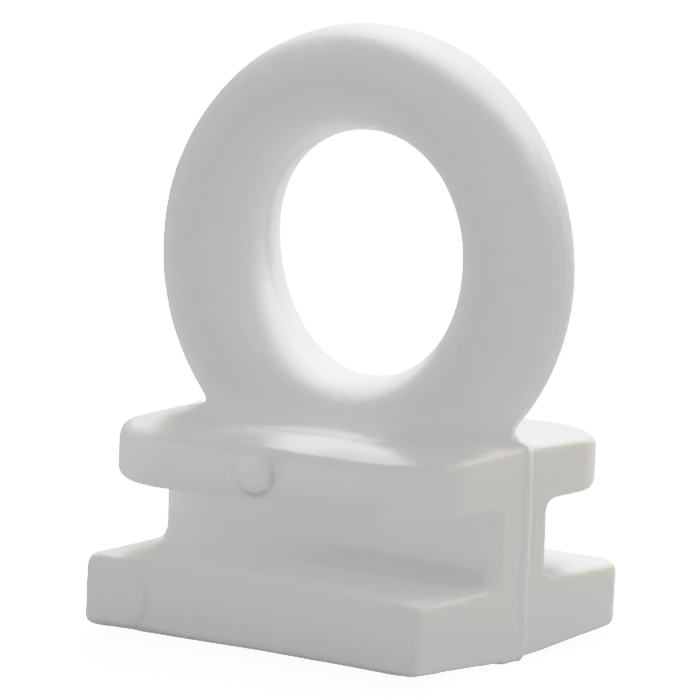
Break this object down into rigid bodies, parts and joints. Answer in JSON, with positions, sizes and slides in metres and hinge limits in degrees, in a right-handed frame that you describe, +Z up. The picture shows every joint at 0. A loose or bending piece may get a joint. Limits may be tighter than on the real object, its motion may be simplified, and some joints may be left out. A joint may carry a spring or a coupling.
{
  "type": "slide-in ring insulator",
  "caption": "White nylon ring insulator for electric fence rope: an upright ring on an H-section foot that slides into a slotted rail or post.",
  "frame": {"origin": "on the mould parting plane, under the ring's centre, on the sole's flat land", "axes": "+X along the foot, the way it slides; +Y through the ring's eye; +Z up from the sole to the ring"},
  "size_m": [0.031, 0.0256, 0.0405],
  "materials": {
    "white_nylon": "satin, slightly translucent white nylon as moulded"
  },
  "bodies": {
    "root": {"insulator_body": "white_nylon"}
  },
  "joints": []
}
